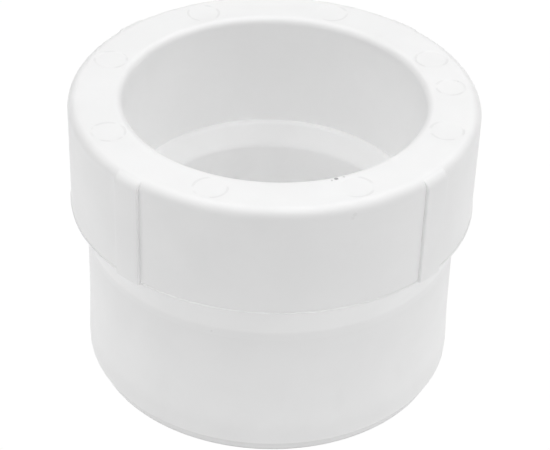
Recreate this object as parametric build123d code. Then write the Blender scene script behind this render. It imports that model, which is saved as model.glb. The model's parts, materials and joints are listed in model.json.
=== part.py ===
from build123d import *

import os

# Reducing coupling in polypropylene for socket fusion, pipe size 110 down to 90.
# It is one moulding. Its regions are written as separate solids that meet face to face:
# the socket collar with its four alignment ribs, the tapered shoulder, the pipe stop
# inside it, and the spigot. Nothing on it moves.
#
# Frame: +Z runs along the pipe axis, from the spigot's end towards the socket's mouth.
# The origin is the centre of the spigot's end face. All sizes are in millimetres.

os.makedirs("parts", exist_ok=True)

# ---- driving dimensions -------------------------------------------------------------

total_height = 89.1

# socket for the smaller pipe
socket_r = 43.9
socket_depth = 36.4
mouth_r = 44.2
mouth_flare_height = 7.5
mouth_round = 2.2

# collar round the socket, with a little draft towards its lower edge
collar_top_r = 60.0
collar_low_r = 59.75
collar_low_z = 54.8
collar_top_round = 3.0
collar_low_round = 1.3
collar_lip_width = 1.4

# spigot for the larger size
spigot_r = 55.5
spigot_length = 44.3
lead_in_height = 3.9
lead_in_depth = 2.0
lead_in_round = 0.5
shoulder_round = 5.0

# waterway
bore_r = 38.05
bore_top_z = 46.6
bore_end_round = 1.0
stop_ledge_width = 1.6
stop_upper_round = 1.5
stop_lower_round = 2.5
stop_ring_r = 47.0

# alignment ribs, a quarter turn apart
rib_count = 4
rib_first_azimuth = 45.0
rib_width = 8.8
rib_proud = 0.95
rib_top_gap = 1.5
rib_top_round = 0.9

# ejector pin marks, sunk in the collar's top face halfway between its edges
pin_mark_count = 8
pin_mark_first_azimuth = 22.5
pin_mark_r = 4.75
pin_mark_depth = 0.15

# ---- worked out from the driving dimensions -------------------------------------------

stop_z = total_height - socket_depth
flare_z = total_height - mouth_flare_height
join_z = spigot_length - shoulder_round / 2
collar_draft = (collar_top_r - collar_low_r) / (total_height - collar_low_z)
rib_top_z = total_height - rib_top_gap
rib_height = rib_top_z - collar_low_z
rib_top_r = collar_low_r + collar_draft * rib_height
pin_mark_circle_r = (mouth_r + mouth_round + collar_top_r - collar_top_round) / 2
shoulder_top_r = collar_low_r - collar_lip_width
shoulder_slope = (shoulder_top_r - spigot_r) / (collar_low_z - spigot_length)
shoulder_cut_r = shoulder_top_r - shoulder_slope * (collar_low_z - stop_z)


def ring(outline, rounded=()):
    """Turn an outline of (radius, height) points about Z, its listed corners rounded."""
    profile = Sketch() + make_face(Polyline(*outline, close=True))
    for corner, radius in rounded:
        vertex = profile.vertices().sort_by_distance(corner)[0]
        profile = fillet(vertex, radius)
    return revolve(Plane.XZ * profile, axis=Axis.Z)


def make_socket_collar():
    """The thick wall round the socket, down to the level of the pipe stop."""
    mouth = (mouth_r, total_height)
    top_edge = (collar_top_r, total_height)
    low_edge = (collar_low_r, collar_low_z)
    collar = ring(
        [
            (socket_r, stop_z),
            (shoulder_cut_r, stop_z),
            (shoulder_top_r, collar_low_z),
            low_edge,
            top_edge,
            mouth,
            (socket_r, flare_z),
        ],
        [(mouth, mouth_round), (top_edge, collar_top_round), (low_edge, collar_low_round)],
    )
    mark = Pos(Z=total_height) * Cylinder(pin_mark_r, 2 * pin_mark_depth)
    turn = 360 / pin_mark_count
    for i in range(pin_mark_count):
        place = Rot(Z=pin_mark_first_azimuth + i * turn) * Pos(X=pin_mark_circle_r)
        collar -= place * mark
    return collar


def make_tapered_shoulder():
    """The outer ring that narrows from the collar to the spigot."""
    waist = (spigot_r, spigot_length)
    outline = [
        (stop_ring_r, join_z),
        (spigot_r, join_z),
        waist,
        (shoulder_cut_r, stop_z),
        (stop_ring_r, stop_z),
    ]
    return ring(outline, [(waist, shoulder_round)])


def make_pipe_stop():
    """The inner ring: a narrow ledge that stops the pipe, and a funnel to the waterway."""
    ledge_edge = (socket_r - stop_ledge_width, stop_z)
    throat = (bore_r, bore_top_z)
    outline = [
        (bore_r, join_z),
        (stop_ring_r, join_z),
        (stop_ring_r, stop_z),
        ledge_edge,
        throat,
    ]
    return ring(outline, [(ledge_edge, stop_upper_round), (throat, stop_lower_round)])


def make_spigot():
    """The thick tube that fuses into a socket of the larger size, with a lead-in."""
    tip = (spigot_r - lead_in_depth, 0)
    bore_end = (bore_r, 0)
    outline = [
        bore_end,
        tip,
        (spigot_r, lead_in_height),
        (spigot_r, join_z),
        (bore_r, join_z),
    ]
    return ring(outline, [(bore_end, bore_end_round), (tip, lead_in_round)])


def make_rib():
    """One alignment rib on the +X side: a bar on the collar's wall, its top end rounded."""
    top_edge = (rib_top_r + rib_proud, rib_top_z)
    skin = ring(
        [
            (collar_low_r, collar_low_z),
            (collar_low_r + rib_proud, collar_low_z),
            top_edge,
            (rib_top_r, rib_top_z),
        ],
        [(top_edge, rib_top_round)],
    )
    bar_depth = 4 * rib_proud
    bar = Pos(collar_top_r, 0, collar_low_z + rib_height / 2) * Box(bar_depth, rib_width, rib_height)
    return bar & skin


nodes = {
    "socket_collar": make_socket_collar(),
    "tapered_shoulder": make_tapered_shoulder(),
    "pipe_stop": make_pipe_stop(),
    "spigot": make_spigot(),
}
rib = make_rib()
for i in range(rib_count):
    nodes[f"alignment_rib_{i + 1}"] = Rot(Z=rib_first_azimuth + i * 360 / rib_count) * rib

for name, solid in nodes.items():
    export_step(solid, f"parts/{name}.step")
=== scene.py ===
import json
import math

import bpy
from mathutils import Matrix, Vector


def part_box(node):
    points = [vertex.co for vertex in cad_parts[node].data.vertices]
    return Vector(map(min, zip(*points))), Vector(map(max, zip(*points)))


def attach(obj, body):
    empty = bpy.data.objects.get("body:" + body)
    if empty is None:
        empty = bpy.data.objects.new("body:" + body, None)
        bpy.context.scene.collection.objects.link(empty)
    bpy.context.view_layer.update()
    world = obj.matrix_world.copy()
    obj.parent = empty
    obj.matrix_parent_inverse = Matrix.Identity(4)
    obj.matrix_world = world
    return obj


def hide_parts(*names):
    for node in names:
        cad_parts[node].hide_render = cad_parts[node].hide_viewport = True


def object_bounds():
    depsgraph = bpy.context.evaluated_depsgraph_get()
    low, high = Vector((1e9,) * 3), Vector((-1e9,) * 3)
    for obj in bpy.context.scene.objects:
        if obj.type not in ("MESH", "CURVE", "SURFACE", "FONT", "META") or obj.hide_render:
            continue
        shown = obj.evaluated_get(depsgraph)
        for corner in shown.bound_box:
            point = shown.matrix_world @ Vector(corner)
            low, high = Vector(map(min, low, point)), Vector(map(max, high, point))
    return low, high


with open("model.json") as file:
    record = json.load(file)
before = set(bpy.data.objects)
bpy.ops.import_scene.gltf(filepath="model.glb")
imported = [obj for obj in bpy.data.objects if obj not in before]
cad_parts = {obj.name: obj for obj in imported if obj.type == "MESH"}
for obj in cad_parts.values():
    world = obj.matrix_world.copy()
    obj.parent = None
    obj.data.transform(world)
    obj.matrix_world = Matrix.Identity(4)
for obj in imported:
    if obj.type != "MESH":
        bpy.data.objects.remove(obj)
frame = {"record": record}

# The looks of a white polypropylene reducing coupling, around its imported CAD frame.
# Lengths are in metres. MM turns a size in millimetres into metres.

MM = 0.001
cad_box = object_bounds()

# ---- sizes read from the frame ------------------------------------------------------

mounts = {mount["name"]: mount for mount in frame["record"]["mounts"]}
socket_r = mounts["socket"]["dims"]["r_mm"] * MM
spigot_r = mounts["spigot"]["dims"]["r_mm"] * MM
total_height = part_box("socket_collar")[1].z
stop_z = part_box("socket_collar")[0].z
join_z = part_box("spigot")[1].z
shoulder_cut_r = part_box("tapered_shoulder")[1].x
stop_ring_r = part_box("pipe_stop")[1].x
collar_low_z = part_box("alignment_rib_1")[0].z

# ---- sizes of the features that the frame's boxes don't give ------------------------------

collar_top_r = 60.0 * MM
collar_low_r = 59.75 * MM
collar_top_round = 3.0 * MM
collar_lip_width = 1.4 * MM

# A fine line of flash runs round the collar's low edge, where the mould parts.
flash_proud = 0.24 * MM
flash_height = 0.4 * MM
flash_slope_height = 0.22 * MM
mouth_r = 44.2 * MM
mouth_flare_height = 7.5 * MM
mouth_round = 2.2 * MM
mouth_flare_blend = 4.0 * MM
shoulder_round = 5.0 * MM
spigot_length = join_z + shoulder_round / 2
lead_in_height = 3.8 * MM
lead_in_depth = 2.0 * MM
lead_in_round = 0.5 * MM
lead_in_top_r = spigot_r - 0.1 * MM
lead_in_top_blend = 15 * MM
bore_r = 38.05 * MM
bore_top_z = 46.6 * MM
bore_end_round = 1.0 * MM
stop_ledge_width = 1.6 * MM
stop_upper_round = 1.5 * MM
stop_lower_round = 2.5 * MM

# The collar's inner wall and the ribs' feet reach a little into what carries them.
seam_overlap = 0.3 * MM
rib_root = 0.3 * MM

# The thick wall has shrunk a little, all but its end: the spigot narrows gently from the
# first of these heights to the second.
swell_top_z = 7.5 * MM
waist_start_z = 19.0 * MM
waist_r = spigot_r - 0.4 * MM
waist_round = 250 * MM

rib_count = 4
rib_first_azimuth = 45.0
rib_width = 8.8 * MM
rib_proud = 0.95 * MM
rib_edge_round = 0.5 * MM
rib_face_steps = 6
rib_top_gap = 0.3 * MM
rib_top_round = 3.2 * MM

pin_mark_count = 8
pin_mark_first_azimuth = 22.5
pin_mark_r = 4.75 * MM
pin_mark_depth = 0.09 * MM
pin_mark_soft = 0.3 * MM
pin_mark_line = 0.5 * MM
pin_mark_circle_r = (mouth_r + mouth_round + collar_top_r - collar_top_round) / 2

# One more mark, a smaller one, stands out of the even row.
odd_mark_azimuth = 4.0
odd_mark_r = 4.2 * MM

# ---- tones -----------------------------------------------------------------------------

skin_tone = 0.957
# The spigot and the pipe stop take a slightly lower tone of the same plastic than the collar:
# painted shade.
painted_shade_tone = 0.942
skin_roughness = 0.42
core_roughness = 0.34
skin_grain = 0.25
refraction = 1.49
specular_level = 0.4

# Noise scales, in turns per metre, and the depths of what they shape.
cloud_scale = 60
smudge_scale = 70
scuff_scale = 900
ripple_scale = 95
ripple_depth = 0.08 * MM
ripple_strength = 0.35
bore_ripple_strength = 0.04
pore_scale = 2500
pore_depth = 0.02 * MM
grime_scale = 170
scar_scale = 1400
foot_shade_scale = 260

fleck_lattice = 110
fleck_size = 0.045
fleck_share = 0.35
fleck_dark = 0.08
smudge_dark = 0.01
# How much painted shade darkens the deep bore.
bore_painted_shade = 0.015
grime_dark = 0.075
# The next two darken the spigot's end and its lead-in: painted shade.
foot_painted_shade = 0.05
lead_in_painted_shade = 0.19

# The places of small dark marks on the collar, their radii and how dark they are. The
# first three make up the gate scar on the mouth's edge.
scars = (
    ((14.5 * MM, -43.9 * MM, 89.0 * MM), 0.85 * MM, 0.6),
    ((13.3 * MM, -44.8 * MM, 89.1 * MM), 0.5 * MM, 0.25),
    ((16.7 * MM, -43.0 * MM, 89.0 * MM), 0.5 * MM, 0.25),
    ((18.8 * MM, -56.9 * MM, 86.3 * MM), 0.9 * MM, 0.06),
    ((18.2 * MM, -57.0 * MM, 85.2 * MM), 0.7 * MM, 0.05),
)

# ---- light and camera ------------------------------------------------------------------

floor_reach = 3.0
floor_drop = 0.05 * MM
floor_glow = 1.01
floor_far_glow = 0.64
floor_front_fade = (-0.35, -0.056)
floor_side_fade = (0.5, 0.11)

# The name, the place, the size and the power in watts of each light.
softboxes = (
    ("softbox_top", (0, 0, 1.4), (1.6, 1.6), 12.0),
    ("softbox_top_left", (-0.7, -0.7, 1.1), (0.9, 0.9), 1.8),
    ("softbox_top_right", (0.7, -0.7, 1.1), (0.9, 0.9), 2.6),
    ("softbox_top_back", (0, 0.9, 1.1), (1.2, 0.8), 2.0),
    ("softbox_back_right", (0.7, 0.7, 1.1), (0.9, 0.9), 3.0),
    ("softbox_left", (-1.2, 0, 0.8), (0.8, 1.2), 5.0),
    ("softbox_right", (1.2, 0, 0.8), (0.8, 1.2), 1.9),
    ("softbox_front_left", (-1.0, -0.9, 0.5), (0.9, 0.9), 1.1),
    ("softbox_front_right", (1.0, -0.9, 0.5), (0.9, 0.9), 2.9),
)

camera_azimuth = math.radians(-3.7)
camera_out = 493.6 * MM
camera_height = 392.1 * MM
camera_pan = 0.0025
camera_tilt = 0.616
camera_roll = 0.033
camera_lens = 130.66

# ---- mesh fineness -------------------------------------------------------------------

lathe_segments = 720
arc_steps = 10
support_gap = 0.12 * MM
face_step = 0.22 * MM
sharp_angle = math.radians(32)


def rounded_outline(corners):
    """Points of a closed outline from (radius, height, rounding) corners.

    A rounded corner becomes an arc. Beside each end of a straight run stands one more
    point, so that the shading of an arc doesn't creep over the flat next to it.
    """
    outline = []
    for i, (r, z, rounding) in enumerate(corners):
        here = Vector((r, z))
        before = Vector(corners[i - 1][:2])
        after = Vector(corners[(i + 1) % len(corners)][:2])
        inward, outward = (before - here).normalized(), (after - here).normalized()
        if rounding == 0:
            outline += [here + inward * support_gap, here, here + outward * support_gap]
            continue
        half = inward.angle(outward) / 2
        reach = rounding / math.tan(half)
        centre = here + (inward + outward).normalized() * rounding / math.sin(half)
        first = here + inward * reach - centre
        turn = math.pi - 2 * half
        if first.cross(here + outward * reach - centre) < 0:
            turn = -turn
        outline.append(centre + first + inward * support_gap)
        for step in range(arc_steps + 1):
            outline.append(centre + Matrix.Rotation(turn * step / arc_steps, 2) @ first)
        outline.append(here + outward * (reach + support_gap))
    return outline


def finished(name, vertices, faces, materials):
    """A smooth-shaded object of these vertices and faces, with its hard edges marked."""
    mesh = bpy.data.meshes.new(name)
    mesh.from_pydata(vertices, [], faces)
    mesh.validate()
    for polygon in mesh.polygons:
        polygon.use_smooth = True
    mesh.set_sharp_from_angle(angle=sharp_angle)
    for material in materials:
        mesh.materials.append(material)
    piece = bpy.data.objects.new(name, mesh)
    bpy.context.scene.collection.objects.link(piece)
    return piece


def lathe(name, outline, materials, lowered=None):
    """A closed outline turned about Z. lowered(x, y, z) may move a point's height."""
    vertices, faces = [], []
    rows = len(outline)
    for j in range(lathe_segments):
        azimuth = 2 * math.pi * j / lathe_segments
        c, s = math.cos(azimuth), math.sin(azimuth)
        for r, z in outline:
            x, y = r * c, r * s
            vertices.append((x, y, lowered(x, y, z) if lowered else z))
    for j in range(lathe_segments):
        a, b = j * rows, (j + 1) % lathe_segments * rows
        for i in range(rows):
            k = (i + 1) % rows
            faces.append((a + i, b + i, b + k, a + k))
    return finished(name, vertices, faces, materials)


def smoothstep(low, high, value):
    t = min(1, max(0, (value - low) / (high - low)))
    return t * t * (3 - 2 * t)


def mark_centres():
    """The middle and the radius of each round mark in the collar's top face."""
    turn = 360 / pin_mark_count
    marks = [(pin_mark_first_azimuth + i * turn, pin_mark_r) for i in range(pin_mark_count)]
    marks.append((odd_mark_azimuth, odd_mark_r))
    centres = []
    for azimuth, radius in marks:
        a = math.radians(azimuth)
        centres.append((math.cos(a) * pin_mark_circle_r, math.sin(a) * pin_mark_circle_r, radius))
    return centres


def pin_marked(x, y, z):
    """The height of a collar point, with the shallow round marks in the top face."""
    if z < total_height - pin_mark_depth / 2:
        return z
    for centre_x, centre_y, radius in mark_centres():
        inside = radius - math.hypot(x - centre_x, y - centre_y)
        if inside > -pin_mark_soft:
            return z - pin_mark_depth * smoothstep(-pin_mark_soft, pin_mark_soft, inside)
    return z


def filled_run(outline, z):
    """The outline with its long level run at height z cut into short steps."""
    dense = []
    for i, here in enumerate(outline):
        after = outline[(i + 1) % len(outline)]
        dense.append(here)
        gap = (after - here).length
        if abs(here[1] - z) < 1e-7 and abs(after[1] - z) < 1e-7 and gap > face_step:
            steps = math.ceil(gap / face_step)
            dense += [here.lerp(after, step / steps) for step in range(1, steps)]
    return dense


# ---- the pieces ------------------------------------------------------------------------


def make_collar(materials):
    outline = rounded_outline(
        [
            (socket_r, stop_z - seam_overlap, 0),
            (stop_ring_r, stop_z - seam_overlap, 0),
            (stop_ring_r, stop_z, 0),
            (shoulder_cut_r, stop_z, 0),
            (collar_low_r - collar_lip_width, collar_low_z, 0),
            (collar_low_r + flash_proud, collar_low_z, 0),
            (collar_low_r + flash_proud, collar_low_z + flash_height, 0),
            (collar_low_r, collar_low_z + flash_height + flash_slope_height, 0),
            (collar_top_r, total_height, collar_top_round),
            (mouth_r, total_height, mouth_round),
            (socket_r, total_height - mouth_flare_height, mouth_flare_blend),
        ]
    )
    outline = filled_run(outline, total_height)
    return lathe("socket_collar_moulded", outline, materials, pin_marked)


def make_shoulder(materials):
    outline = rounded_outline(
        [
            (stop_ring_r, join_z, 0),
            (waist_r, join_z, 0),
            (waist_r, spigot_length, shoulder_round),
            (shoulder_cut_r, stop_z, 0),
            (stop_ring_r, stop_z, 0),
        ]
    )
    return lathe("tapered_shoulder_moulded", outline, materials)


def make_stop(materials):
    outline = rounded_outline(
        [
            (bore_r, join_z, 0),
            (stop_ring_r, join_z, 0),
            (stop_ring_r, stop_z, 0),
            (socket_r - stop_ledge_width, stop_z, stop_upper_round),
            (bore_r, bore_top_z, stop_lower_round),
        ]
    )
    return lathe("pipe_stop_moulded", outline, materials)


def make_spigot(materials):
    outline = rounded_outline(
        [
            (bore_r, 0, bore_end_round),
            (spigot_r - lead_in_depth, 0, lead_in_round),
            (lead_in_top_r, lead_in_height, lead_in_round),
            (spigot_r, swell_top_z, lead_in_top_blend),
            (waist_r, waist_start_z, waist_round),
            (waist_r, join_z, 0),
            (bore_r, join_z, 0),
        ]
    )
    return lathe("spigot_moulded", outline, materials)


def make_rib(name, azimuth, materials):
    """A raised bar on the collar's wall, rounded along its edges and over its top end."""
    half = rib_width / 2
    section = [(-half, -rib_root), (-half, 0)]
    for step in range(arc_steps + 1):
        a = math.pi / 2 * step / arc_steps
        across = -half + rib_edge_round * (1 - math.cos(a))
        section.append((across, rib_proud - rib_edge_round * (1 - math.sin(a))))
    inner = -half + rib_edge_round
    strips = range(1, rib_face_steps)
    section += [(inner * (1 - step / rib_face_steps), rib_proud) for step in strips]
    section += [(0, rib_proud)] + [(-a, h) for a, h in reversed(section)]
    top = total_height - rib_top_gap
    stations = [(collar_low_z, 0), (collar_low_z + support_gap, 0)]
    stations += [(top - rib_top_round - support_gap, 0)]
    for step in range(arc_steps + 1):
        a = math.pi / 2 * step / arc_steps
        drop = rib_top_round * (1 - math.cos(a))
        stations.append((top - rib_top_round * (1 - math.sin(a)), drop))
    vertices = []
    draft = (collar_top_r - collar_low_r) / (total_height - collar_low_z)
    turned = Matrix.Rotation(math.radians(azimuth), 4, "Z")
    for z, drop in stations:
        wall = collar_low_r + draft * (z - collar_low_z)
        for across, height in section:
            r = wall + height - drop
            angle = across / wall
            vertices.append(turned @ Vector((r * math.cos(angle), r * math.sin(angle), z)))
    rows = len(section)
    faces = []
    for i in range(len(stations) - 1):
        for j in range(rows):
            k = (j + 1) % rows
            a, b = i * rows, (i + 1) * rows
            faces.append((a + j, a + k, b + k, b + j))
    faces.append(tuple(reversed(range(rows))))
    faces.append(tuple((len(stations) - 1) * rows + j for j in range(rows)))
    return finished(name, vertices, faces, materials)


# ---- materials ---------------------------------------------------------------------------


class Graph:
    """A material's node tree, built a node at a time."""

    def __init__(self, name):
        self.material = bpy.data.materials.new(name)
        self.material.use_nodes = True
        self.nodes = self.material.node_tree.nodes
        self.links = self.material.node_tree.links
        self.place = self.nodes.new("ShaderNodeTexCoord").outputs["Object"]

    def feed(self, socket, value):
        if isinstance(value, bpy.types.NodeSocket):
            self.links.new(value, socket)
        else:
            socket.default_value = value

    def add(self, kind, inputs, **settings):
        node = self.nodes.new("ShaderNode" + kind)
        for key, value in settings.items():
            setattr(node, key, value)
        for key, value in inputs.items():
            self.feed(node.inputs[key], value)
        return node

    def math(self, operation, *values):
        return self.add("Math", dict(enumerate(values)), operation=operation).outputs["Value"]

    def noise(self, scale, detail, stretch=(1, 1, 1)):
        place = self.add("Mapping", {"Vector": self.place, "Scale": stretch}).outputs["Vector"]
        inputs = {"Vector": place, "Scale": scale, "Detail": detail}
        return self.add("TexNoise", inputs).outputs["Fac"]

    def ramp(self, value, low, high, first=0, last=1):
        spread = {"From Min": low, "From Max": high, "To Min": first, "To Max": last}
        spread["Value"] = value
        return self.add("MapRange", spread, interpolation_type="SMOOTHSTEP").outputs["Result"]

    def height(self):
        return self.add("SeparateXYZ", {"Vector": self.place}).outputs["Z"]

    def distance(self, point):
        inputs = {0: self.place, 1: point}
        return self.add("VectorMath", inputs, operation="DISTANCE").outputs["Value"]

    def from_axis(self):
        flat = self.add("VectorMath", {0: self.place, 1: (1, 1, 0)}, operation="MULTIPLY")
        return self.add("VectorMath", {0: flat.outputs[0]}, operation="LENGTH").outputs["Value"]

    def less(self, tone, mask, share):
        """The tone, lowered by this share where the mask is 1."""
        return self.math("MULTIPLY", tone, self.ramp(mask, 0, 1, 1, 1 - share))


def flecks(graph):
    """A mask of small round flecks, one in some of the cells of a loose lattice."""
    cells = graph.add("TexVoronoi", {"Vector": graph.place, "Scale": fleck_lattice})
    spot = graph.ramp(cells.outputs["Distance"], fleck_size, fleck_size / 2)
    chance = graph.add("SeparateColor", {"Color": cells.outputs["Color"]}).outputs["Red"]
    return graph.math("MULTIPLY", spot, graph.math("GREATER_THAN", chance, 1 - fleck_share))


def moulded_polypropylene(name, tone):
    """White polypropylene: a satin moulded skin with faint clouding, smudges and flecks.

    The funnel and the bore, shaped by a polished core, are smoother.
    """
    graph = Graph(name)
    shader = graph.nodes["Principled BSDF"]
    level = graph.ramp(graph.noise(cloud_scale, 3), 0.35, 0.65, tone - 0.01, tone + 0.01)
    smudges = graph.ramp(graph.noise(smudge_scale, 5, (1, 1, 0.6)), 0.52, 0.68)
    level = graph.less(level, smudges, smudge_dark)
    level = graph.less(level, flecks(graph), fleck_dark)
    from_axis = graph.from_axis()
    # Painted shade: the deep bore, inside 39 mm of the axis, is darkened a little.
    level = graph.less(level, graph.ramp(from_axis, 39 * MM, 38.3 * MM), bore_painted_shade)
    inside = graph.ramp(from_axis, socket_r - 0.3 * MM, socket_r - 0.6 * MM)
    graph.feed(shader.inputs["IOR"], refraction)
    graph.feed(shader.inputs["Specular IOR Level"], specular_level)
    scuffs = graph.noise(scuff_scale, 4, (1, 1, 0.35))
    gloss = graph.ramp(scuffs, 0.3, 0.7, skin_roughness - 0.05, skin_roughness + 0.05)
    polished = graph.add("Mix", {"Factor": inside, "A": gloss, "B": core_roughness})
    graph.feed(shader.inputs["Roughness"], polished.outputs["Result"])
    rippled = graph.ramp(inside, 0, 1, ripple_strength, bore_ripple_strength)
    ripple = {"Height": graph.noise(ripple_scale, 2), "Strength": rippled}
    ripple["Distance"] = ripple_depth
    ripple = graph.add("Bump", ripple).outputs["Normal"]
    grained = graph.ramp(inside, 0, 1, skin_grain, skin_grain / 6)
    pores = {"Height": graph.noise(pore_scale, 5), "Strength": grained}
    pores.update({"Distance": pore_depth, "Normal": ripple})
    graph.feed(shader.inputs["Normal"], graph.add("Bump", pores).outputs["Normal"])
    return graph, level


def tinted(graph, level):
    """Close a polypropylene material with this tone."""
    graph.feed(graph.nodes["Principled BSDF"].inputs["Base Color"], level)
    return graph.material


def collar_skin():
    """The collar's plastic, with a small dark gate scar on the mouth's edge.

    Thin, broken lines of grime stand in the rims of the round marks.
    """
    graph, level = moulded_polypropylene("polypropylene_collar", skin_tone)
    grime = graph.ramp(graph.noise(grime_scale, 2), 0.42, 0.58)
    for x, y, radius in mark_centres():
        off_rim = graph.math("SUBTRACT", graph.distance((x, y, total_height)), radius)
        rim = graph.ramp(graph.math("ABSOLUTE", off_rim), pin_mark_line, pin_mark_line / 2)
        level = graph.less(level, graph.math("MULTIPLY", rim, grime), grime_dark)
    for (x, y, z), radius, strength in scars:
        ragged = graph.math("MULTIPLY", graph.noise(scar_scale, 3), radius)
        away = graph.math("ADD", graph.distance((x, y, z)), ragged)
        level = graph.less(level, graph.ramp(away, 1.4 * radius, radius), strength)
    return tinted(graph, level)


def spigot_skin():
    """The spigot's plastic, darkened a little towards its end: painted shade, where it stands
    near the floor.

    The lead-in is darker still: painted shade, for the floor's shadow beside it.
    """
    # The spigot's lower tone is painted shade.
    graph, level = moulded_polypropylene("polypropylene_spigot", painted_shade_tone)
    uneven = graph.ramp(graph.noise(foot_shade_scale, 4), 0.3, 0.7, -0.4 * MM, 0.4 * MM)
    height = graph.math("ADD", graph.height(), uneven)
    # Painted shade: the spigot darkens towards its end, with a ragged edge.
    level = graph.less(level, graph.ramp(height, 16 * MM, 3 * MM), foot_painted_shade)
    # Painted shade: the lead-in is darkest of all.
    level = graph.less(level, graph.ramp(graph.height(), 4 * MM, 3.4 * MM), lead_in_painted_shade)
    return tinted(graph, level)


def plain_skin(name, tone):
    return tinted(*moulded_polypropylene(name, tone))


def pale_floor():
    """A white sheet that glows, painted light standing in for light from above and behind,
    brightest from the coupling back.

    It glows evenly there and less in front and at the sides. Under the coupling, where
    no light comes, it only reflects.
    """
    graph = Graph("pale_floor")
    shade = graph.nodes["Principled BSDF"]
    graph.feed(shade.inputs["Base Color"], (0.9, 0.9, 0.9, 1))
    graph.feed(shade.inputs["Roughness"], 0.8)
    parts = graph.add("SeparateXYZ", {"Vector": graph.place}).outputs
    forward = graph.ramp(parts["Y"], *floor_front_fade)
    aside = graph.ramp(graph.math("ABSOLUTE", parts["X"]), *floor_side_fade)
    bright = graph.math("MULTIPLY", forward, aside)
    level = graph.ramp(bright, 0, 1, floor_far_glow, floor_glow)
    # The floor's glow is painted light.
    glow = graph.add("Emission", {"Strength": level}).outputs["Emission"]
    outside = graph.math("GREATER_THAN", graph.distance((0, 0, 0)), spigot_r - lead_in_depth)
    both = graph.add("MixShader", {"Fac": outside, 1: shade.outputs["BSDF"], 2: glow})
    graph.feed(graph.nodes["Material Output"].inputs["Surface"], both.outputs["Shader"])
    return graph.material


# ---- the studio ----------------------------------------------------------------------------


def make_floor():
    mesh = bpy.data.meshes.new("floor")
    signs = ((-1, -1), (1, -1), (1, 1), (-1, 1))
    corners = [(x * floor_reach, y * floor_reach, 0) for x, y in signs]
    mesh.from_pydata(corners, [], [(0, 1, 2, 3)])
    mesh.materials.append(pale_floor())
    floor = bpy.data.objects.new("floor", mesh)
    bpy.context.scene.collection.objects.link(floor)
    floor.location.z = cad_box[0].z - floor_drop


def softbox(name, place, size, watts):
    light = bpy.data.lights.new(name, "AREA")
    light.shape = "RECTANGLE"
    light.size, light.size_y = size
    light.energy = watts
    lamp = bpy.data.objects.new(name, light)
    lamp.location = place
    aim = Vector((0, 0, total_height / 2)) - Vector(place)
    lamp.rotation_euler = aim.to_track_quat("-Z", "Y").to_euler()
    bpy.context.scene.collection.objects.link(lamp)


def make_lights():
    """Soft light from all round, strongest from above and from the left."""
    for name, place, size, watts in softboxes:
        softbox(name, place, size, watts)
    world = bpy.data.worlds.new("studio")
    world.use_nodes = True
    background = world.node_tree.nodes["Background"]
    background.inputs["Color"].default_value = (1, 1, 1, 1)
    background.inputs["Strength"].default_value = 0
    bpy.context.scene.world = world


def make_camera():
    """The camera stands in front, a little to the left, and looks down into the mouth."""
    level_reach = math.cos(camera_tilt)
    across, forward = math.sin(camera_pan) * level_reach, math.cos(camera_pan) * level_reach
    ahead = Vector((across, forward, -math.sin(camera_tilt)))
    right = ahead.cross(Vector((0, 0, 1))).normalized()
    up = right.cross(ahead)
    c, s = math.cos(camera_roll), math.sin(camera_roll)
    axes = Matrix((right * c + up * s, up * c - right * s, -ahead)).transposed()
    camera = bpy.data.cameras.new("camera")
    camera.sensor_width = 36
    camera.lens = camera_lens
    eye = bpy.data.objects.new("camera", camera)
    place = Matrix.Translation((0, -camera_out, camera_height))
    eye.matrix_world = Matrix.Rotation(camera_azimuth, 4, "Z") @ place @ axes.to_4x4()
    bpy.context.scene.collection.objects.link(eye)
    bpy.context.scene.camera = eye


# ---- putting it together ------------------------------------------------------------------

skin = plain_skin("polypropylene_skin", skin_tone)
moulded = {
    "socket_collar": make_collar([collar_skin()]),
    "tapered_shoulder": make_shoulder([skin]),
    # The pipe stop takes the lower tone too: painted shade.
    "pipe_stop": make_stop([plain_skin("polypropylene_core", painted_shade_tone)]),
    "spigot": make_spigot([spigot_skin()]),
}
for i in range(rib_count):
    node = f"alignment_rib_{i + 1}"
    azimuth = rib_first_azimuth + i * 360 / rib_count
    moulded[node] = make_rib(node + "_moulded", azimuth, [skin])

for node, piece in moulded.items():
    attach(piece, "root")
    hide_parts(node)

make_floor()
make_lights()
make_camera()
bpy.context.scene.view_settings.view_transform = "Standard"
bpy.context.scene.cycles.diffuse_bounces = 16
bpy.context.scene.cycles.max_bounces = 24
